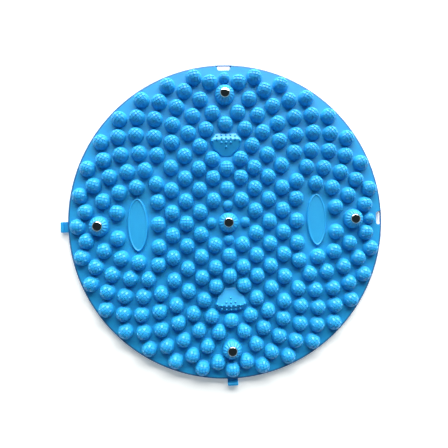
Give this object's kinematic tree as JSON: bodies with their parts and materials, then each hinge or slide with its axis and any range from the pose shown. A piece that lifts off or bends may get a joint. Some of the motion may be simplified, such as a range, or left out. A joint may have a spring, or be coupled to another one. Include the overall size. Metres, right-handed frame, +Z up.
{
  "type": "acupressure foot massage mat",
  "caption": "Round flat foot massage mat covered in textured domed bumps, with polished metal studs over magnets, oval and fan-shaped pads, edge hooks and edge slots.",
  "frame": {"origin": "centre of the round mat on its underside, at floor level", "axes": "+Z up through the mat; the hooks point to -X and -Y, the slots are at +X and +Y"},
  "size_m": [0.3985, 0.3985, 0.0185],
  "materials": {
    "mat_plastic": "moulded, satin gloss, slightly translucent",
    "stud_metal": "mirror polished",
    "magnet_plating": "nickel plated",
    "plug_plastic": "moulded, matt"
  },
  "bodies": {
    "root": {"mat_moulding": "mat_plastic", "stud_centre": "stud_metal", "magnet_centre": "magnet_plating", "plug_centre": "plug_plastic", "stud_right": "stud_metal", "magnet_right": "magnet_plating", "plug_right": "plug_plastic", "stud_back": "stud_metal", "magnet_back": "magnet_plating", "plug_back": "plug_plastic", "stud_left": "stud_metal", "magnet_left": "magnet_plating", "plug_left": "plug_plastic", "stud_front": "stud_metal", "magnet_front": "magnet_plating", "plug_front": "plug_plastic"}
  },
  "joints": []
}
